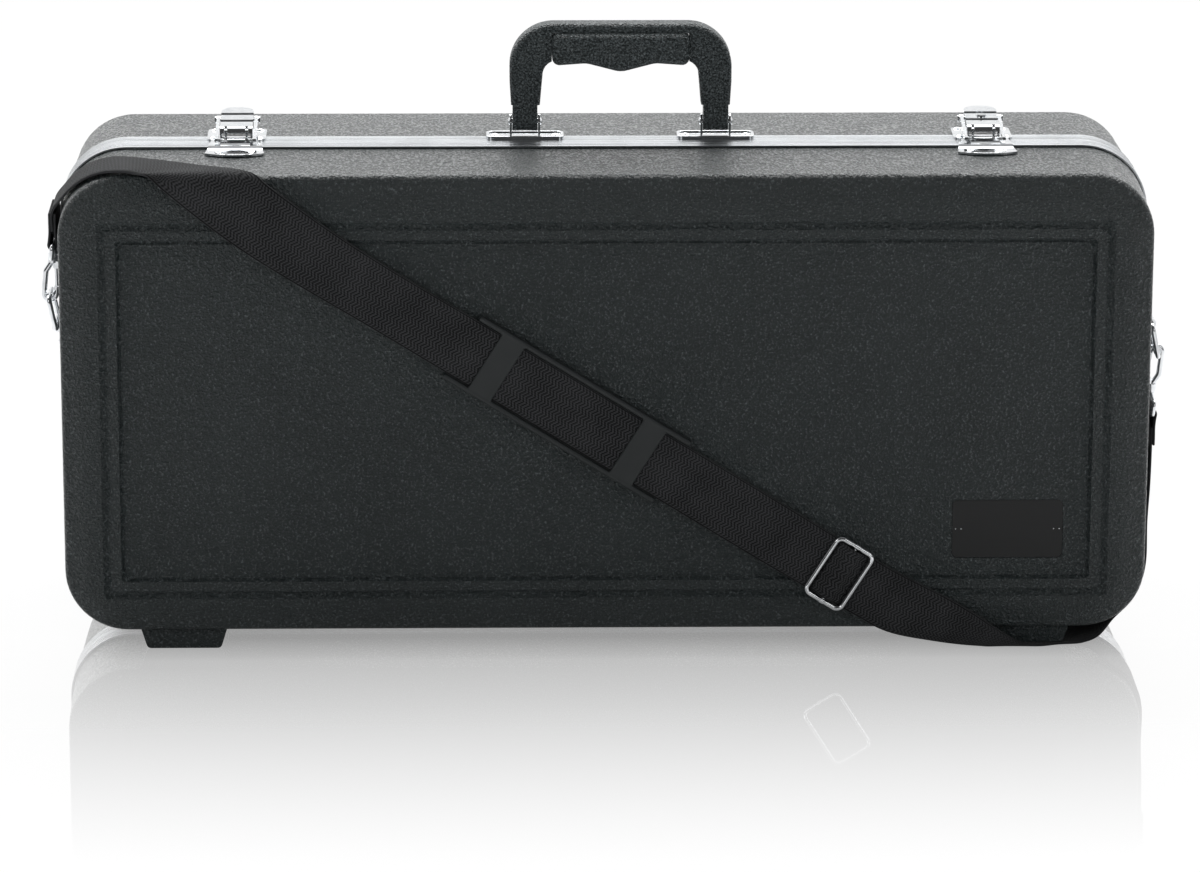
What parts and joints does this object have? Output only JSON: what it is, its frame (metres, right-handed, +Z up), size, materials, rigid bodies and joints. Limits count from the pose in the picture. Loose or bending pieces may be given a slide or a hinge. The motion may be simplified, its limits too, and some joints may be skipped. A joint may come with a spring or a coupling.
{
  "type": "alto saxophone case",
  "caption": "Moulded hard case for an alto saxophone: hinged lid, sprung draw latches, swing handle, fitted plush interior and a clip-on shoulder strap",
  "frame": {"origin": "under the middle of the closed case with its strap on, on the surface that it stands on", "axes": "X along the case, Y from the lid to the base, Z up"},
  "size_m": [0.6884, 0.1898, 0.373],
  "materials": {
    "shell_plastic": "pebbled charcoal thermoplastic",
    "valance_metal": "bright brushed aluminium extrusion",
    "plated_metal": "bright plated pressings and wire",
    "handle_plastic": "grained black moulding",
    "webbing": "dark charcoal woven webbing",
    "pad_rubber": "smooth dark moulded rubber",
    "plush": "black plush over foam",
    "badge_paint": "bare dark plate"
  },
  "bodies": {
    "base": {"rear_shell": "shell_plastic", "rear_valance": "valance_metal", "rear_liner": "plush", "rear_hinge_leaves": "plated_metal", "rear_hinge_rivets": "plated_metal", "hinge_pins": "plated_metal", "latch_base_left": "plated_metal", "latch_base_right": "plated_metal", "latch_base_rivets": "plated_metal", "latch_lever_pins": "plated_metal", "handle_plate_left": "plated_metal", "handle_plate_right": "plated_metal", "handle_plate_rivets": "plated_metal", "handle_pins": "plated_metal"},
    "lid": {"front_shell": "shell_plastic", "front_valance": "valance_metal", "front_liner": "plush", "front_hinge_leaves": "plated_metal", "front_hinge_rivets": "plated_metal", "catch_plate_left": "plated_metal", "catch_plate_right": "plated_metal", "catch_rivets": "plated_metal", "ring_plate_left": "plated_metal", "ring_plate_right": "plated_metal", "ring_plate_rivets": "plated_metal", "badge_plate": "badge_paint", "badge_staples": "plated_metal", "strap_webbing": "webbing", "strap_lower_run": "webbing", "shoulder_pad": "pad_rubber", "strap_slider": "plated_metal", "strap_slider_loop": "webbing", "strap_end_left": "webbing", "strap_end_right": "webbing", "strap_eye_left": "plated_metal", "strap_eye_right": "plated_metal"},
    "handle": {"handle_arch": "handle_plastic", "handle_grip": "handle_plastic"},
    "lever_left": {"latch_lever_left": "plated_metal", "latch_bail_pin_left": "plated_metal"},
    "lever_right": {"latch_lever_right": "plated_metal", "latch_bail_pin_right": "plated_metal"},
    "bail_left": {"latch_bail_left": "plated_metal"},
    "bail_right": {"latch_bail_right": "plated_metal"},
    "lock": {"latch_lock_barrel": "plated_metal"},
    "ring_left": {"d_ring_left": "plated_metal"},
    "ring_right": {"d_ring_right": "plated_metal"},
    "hook_left": {"snap_hook_left": "plated_metal"},
    "hook_right": {"snap_hook_right": "plated_metal"},
    "gate_left": {"hook_gate_left": "plated_metal"},
    "gate_right": {"hook_gate_right": "plated_metal"},
    "box_lid": {"accessory_box_lid": "plush", "accessory_lid_ribbon": "plush"}
  },
  "joints": [
    {"name": "lid_hinge", "type": "hinge", "parent": "base", "child": "lid", "pos_m": [0, -0.0036, 0.0065], "axis": [1, 0, 0], "range_deg": [0, 125]},
    {"name": "handle_swing", "type": "hinge", "parent": "base", "child": "handle", "pos_m": [0.01, 0.0074, 0.311], "axis": [1, 0, 0], "range_deg": [-84, 84]},
    {"name": "accessory_lid_hinge", "type": "hinge", "parent": "base", "child": "box_lid", "pos_m": [-0.224, 0.0019, 0.247], "axis": [-1, 0, 0], "range_deg": [0, 95]},
    {"name": "lock_turn", "type": "hinge", "parent": "lever_right", "child": "lock", "pos_m": [0.2328, 0.0164, 0.309], "axis": [0, 0, 1], "range_deg": [0, 90]},
    {"name": "latch_lever_left", "type": "hinge", "parent": "base", "child": "lever_left", "pos_m": [-0.2254, 0.0004, 0.3061], "axis": [1, 0, 0], "range_deg": [0, 120]},
    {"name": "latch_bail_left", "type": "hinge", "parent": "lever_left", "child": "bail_left", "pos_m": [-0.2254, 0.0224, 0.3089], "axis": [1, 0, 0], "range_deg": [-138, 0]},
    {"name": "latch_lever_right", "type": "hinge", "parent": "base", "child": "lever_right", "pos_m": [0.2328, 0.0004, 0.3061], "axis": [1, 0, 0], "range_deg": [0, 120]},
    {"name": "latch_bail_right", "type": "hinge", "parent": "lever_right", "child": "bail_right", "pos_m": [0.2328, 0.0224, 0.3089], "axis": [1, 0, 0], "range_deg": [-138, 0]},
    {"name": "d_ring_left", "type": "hinge", "parent": "lid", "child": "ring_left", "pos_m": [-0.33464, -0.0371, 0.1945], "axis": [0, 1, 0], "range_deg": [-1, 1]},
    {"name": "hook_swivel_left", "type": "hinge", "parent": "lid", "child": "hook_left", "pos_m": [-0.336, -0.0371, 0.24072], "axis": [0.1045, 0, 0.9945], "range_deg": [-8, 8]},
    {"name": "hook_gate_left", "type": "hinge", "parent": "hook_left", "child": "gate_left", "pos_m": [-0.33473, -0.0371, 0.23173], "axis": [0, 1, 0], "range_deg": [0, 11], "stiffness_Nm_per_rad": 0.002, "springref_deg": -11.46},
    {"name": "d_ring_right", "type": "hinge", "parent": "lid", "child": "ring_right", "pos_m": [0.33464, -0.0371, 0.1945], "axis": [0, 1, 0], "range_deg": [-1, 1]},
    {"name": "hook_swivel_right", "type": "hinge", "parent": "lid", "child": "hook_right", "pos_m": [0.336, -0.0371, 0.14828], "axis": [0.1045, 0, 0.9945], "range_deg": [-8, 8]},
    {"name": "hook_gate_right", "type": "hinge", "parent": "hook_right", "child": "gate_right", "pos_m": [0.33473, -0.0371, 0.15727], "axis": [0, 1, 0], "range_deg": [0, 11], "stiffness_Nm_per_rad": 0.002, "springref_deg": -11.46}
  ],
  "couplings": [
    {"joint": "latch_bail_left", "follows": "latch_lever_left", "ratio": -1.15},
    {"joint": "latch_bail_right", "follows": "latch_lever_right", "ratio": -1.15}
  ]
}
